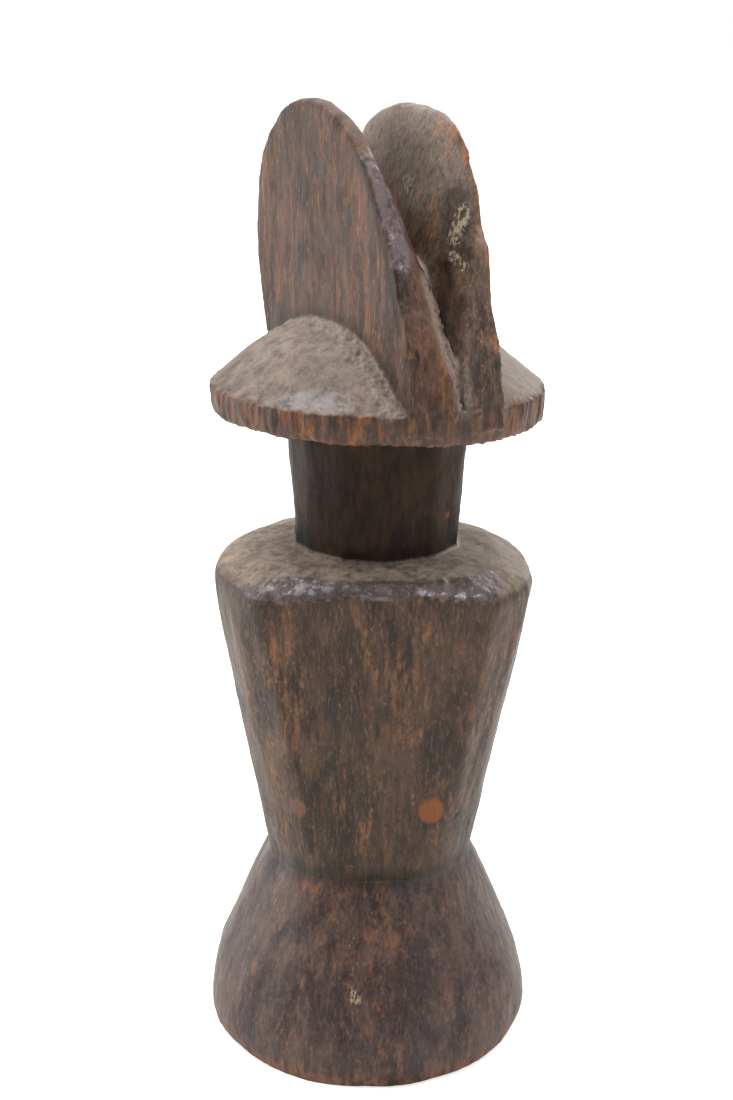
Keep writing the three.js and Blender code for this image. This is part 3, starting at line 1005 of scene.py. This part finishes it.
# %% Finishes
FINISHES = {
    "flared_base": patinated_wood(
        "Handled hardwood, base", ("#251a1c", "#4f3c34", "#714930", "#86664c", "#70604f"),
        wear=0.6, dust=0.15, rough=0.5, gloss=0.3, contrast=0.8,
    ),
    "torso": patinated_wood(
        "Handled hardwood, torso", ("#1e160f", "#4a3425", "#724a2d", "#8b6845", "#9c8d7e"),
        wear=0.7, dust=0.85, rough=0.52, gloss=0.25, contrast=0.9, polished_with_sheen=True,
        spots=[((1.2, -16.0, 37.6, 1.8), "#703a14"), ((-14.9, -7.4, 37.6, 1.4), "#583822")],
    ),
    "neck": patinated_wood(
        "Shaded hardwood, neck", ("#140d08", "#2c1e13", "#382617", "#45321f", "#6a5b4e"),
        wear=0.3, dust=0.2, rough=0.55, gloss=0.1, contrast=0.4, spots=[((6.0, -9.9, 77.2, 0.5), "#6d4225")],
    ),
    "head_disc": patinated_wood(
        "Dusty hardwood, head", ("#1d120b", "#43291a", "#73441f", "#7f5c40", "#8b7e73"),
        wear=0.9, dust=0.8, rough=0.48, gloss=0.35, polished_with_sheen=True,
    ),
    "left_crest": patinated_wood(
        "Dusty hardwood, left crest", ("#21150f", "#573b2b", "#6f482f", "#8f6f55", "#86776c"),
        wear=0.7, dust=0.5, rough=0.53, gloss=0.24, contrast=0.95, polished_with_sheen=True,
    ),
    # The right crest's tones are lighter, partly painted light for its inner slope, which takes light from the
    # left.
    "right_crest": patinated_wood(
        "Dusty hardwood with painted light, right crest", ("#271b14", "#5c4737", "#87502c", "#9b7e63", "#a39487"),
        wear=1.0, dust=0.7, rough=0.5, gloss=0.3,
    ),
}

# %% [markdown]
# Each piece gets its finish, rides on the one body that the doll has and hides the CAD part of its own node.

# %% Dress the pieces
for node, made in doll.items():
    made.data.materials.clear()
    made.data.materials.append(FINISHES[node])
    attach(made, "root")
    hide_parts(node)
print("dressed:", ", ".join(made.name for made in doll.values()))

# %% [markdown]
# ## Studio
# The doll stands on a pale lit table, which a little light of its own keeps even and white to its far edge.

# %% Floor
bpy.ops.mesh.primitive_circle_add(vertices=96, radius=9, fill_type="NGON", location=(0, 0, 0))
floor = bpy.context.object
floor.name = "Floor"
paper = bpy.data.materials.new("White lit table")
paper.use_nodes = True
shader = paper.node_tree.nodes["Principled BSDF"]
shader.inputs["Base Color"].default_value = colour("#f4f2f0")
shader.inputs["Roughness"].default_value = 0.9
shader.inputs["Emission Color"].default_value = (1, 1, 1, 1)
shader.inputs["Emission Strength"].default_value = 0.5
floor.data.materials.append(paper)
print("floor:", floor.dimensions.x, "m across")

# %% [markdown]
# A large soft light hangs above the doll and one stands on each side behind it. A small one in front, high
# and to the right, gives the polished places their highlights.

# %% Lights
DOLL_MIDDLE = Vector((0, 0, 0.07))


def softbox(name, place_m, size_m, watts):
    """A square soft light that faces the doll's middle."""
    bpy.ops.object.light_add(type="AREA", location=place_m)
    lamp = bpy.context.object
    lamp.name = name
    lamp.data.size, lamp.data.energy = size_m, watts
    lamp.rotation_euler = (DOLL_MIDDLE - Vector(place_m)).to_track_quat("-Z", "Y").to_euler()
    print(name, watts, "W")


softbox("Top light", (-0.1, 0.15, 0.9), 0.7, 9)
softbox("Left light", (-0.8, 0.45, 0.3), 0.5, 6)
softbox("Right light", (0.75, 0.45, 0.35), 0.5, 3.5)
softbox("Front light", (0.3, -0.75, 0.6), 0.22, 3.2)

# %% [markdown]
# The room is white, and darker in front of the doll than behind it, which lets the doll's sides pick up the
# pale reflections. The camera itself sees it white all round.

# %% Room
CAMERA_SIDE_LIGHT = 0.08
room = bpy.data.worlds.new("White room")
bpy.context.scene.world = room
room.use_nodes = True
tree = room.node_tree
tree.nodes.clear()
toward = add(tree, "ShaderNodeTexCoord")["Generated"]
front = facing(CAMERA_TURN, 8)
ahead = add(tree, "ShaderNodeVectorMath", {0: toward, 1: front}, operation="DOT_PRODUCT")["Value"]
level = add(tree, "ShaderNodeMapRange", {0: ahead, 1: -0.05, 2: 0.8, 3: 1.0, 4: CAMERA_SIDE_LIGHT})[0]
seen = add(tree, "ShaderNodeLightPath")["Is Camera Ray"]
level = add(tree, "ShaderNodeMix", {0: seen, 2: level, 3: 1.0})[0]
white = add(tree, "ShaderNodeBackground", {0: (1, 1, 1, 1), 1: level})[0]
add(tree, "ShaderNodeOutputWorld", {0: white})
bpy.context.scene.view_settings.view_transform = "Standard"
print("room: white behind the doll,", CAMERA_SIDE_LIGHT, "in front of it")
